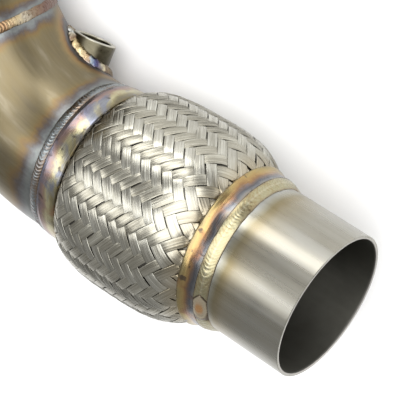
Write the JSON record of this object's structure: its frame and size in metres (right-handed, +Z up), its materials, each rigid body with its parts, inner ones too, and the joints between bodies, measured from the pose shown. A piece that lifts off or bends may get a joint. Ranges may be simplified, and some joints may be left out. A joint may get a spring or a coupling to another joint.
{
  "type": "exhaust downpipe",
  "caption": "Bent exhaust downpipe with a braided flex coupling, a plain outlet stub, a sensor bung and a clamp flange at its inlet.",
  "frame": {"origin": "centre of the bounding box's base, on the surface the pipe lies on", "axes": "+Z up as the pipe lies on its side, +X along the flex coupling towards the outlet stub, +Y towards the inlet flange"},
  "size_m": [0.3008, 0.1721, 0.1063],
  "materials": {
    "stub_steel": "satin brushed stainless steel tube with a straw heat band at the weld",
    "tinted_steel": "satin stainless steel with bronze, gold and blue heat tint",
    "flange_steel": "turned stainless steel",
    "collar_steel": "pressed stainless steel, gold heat tint",
    "weld_metal": "rippled weld bead with straw, blue and copper heat tint",
    "braid_steel": "woven stainless steel wire ribbons",
    "bellows_steel": "thin bright stainless steel",
    "liner_steel": "dull stainless steel strip",
    "bung_steel": "satin turned steel"
  },
  "bodies": {
    "inlet_side": {"outer_braid": "braid_steel", "bellows": "bellows_steel", "interlock_liner": "liner_steel", "inlet_collar": "collar_steel", "inlet_weld": "weld_metal", "elbow": "tinted_steel", "sensor_bung": "bung_steel", "bung_weld": "weld_metal", "upper_weld": "weld_metal", "upper_pipe": "tinted_steel", "flange_weld": "weld_metal", "inlet_flange": "flange_steel"},
    "outlet_side": {"outlet_collar": "collar_steel", "outlet_weld": "weld_metal", "outlet_stub": "stub_steel"}
  },
  "joints": [
    {"name": "flex_bend", "type": "hinge", "parent": "inlet_side", "child": "outlet_side", "pos_m": [0.04845, -0.0343, 0.05322], "axis": [-0.1216, -0.1379, 0.9829], "range_deg": [-6, 6], "stiffness_Nm_per_rad": 30, "deforming": ["outer_braid", "bellows", "interlock_liner"]}
  ]
}
